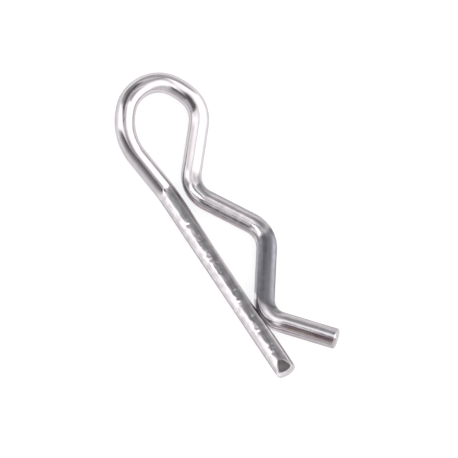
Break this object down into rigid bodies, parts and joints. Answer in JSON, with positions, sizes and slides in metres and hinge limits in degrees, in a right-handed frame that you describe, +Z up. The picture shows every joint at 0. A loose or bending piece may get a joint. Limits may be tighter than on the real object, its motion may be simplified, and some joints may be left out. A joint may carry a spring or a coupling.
{
  "type": "hitch r clip pin",
  "caption": "Spring wire clip with a straight leg that goes through a cross-drilled pin, a wavy leg that snaps over the pin's outside and a round loop to pull it out by.",
  "frame": {"origin": "on the axis of the shaft that the clip holds, under the crest of the bent leg and on the straight leg's line, at mid height of the bent leg's wire", "axes": "+X along the straight leg towards its tip, +Y from the straight leg to the bent leg, +Z up, square to the plane in which the wire is bent and along the held shaft"},
  "size_m": [0.0683, 0.0192, 0.0067],
  "materials": {
    "wire": "bright zinc-plated spring steel wire, mirror-like in the loop and satin on the straight leg"
  },
  "bodies": {
    "root": {"r_clip": "wire"}
  },
  "joints": []
}
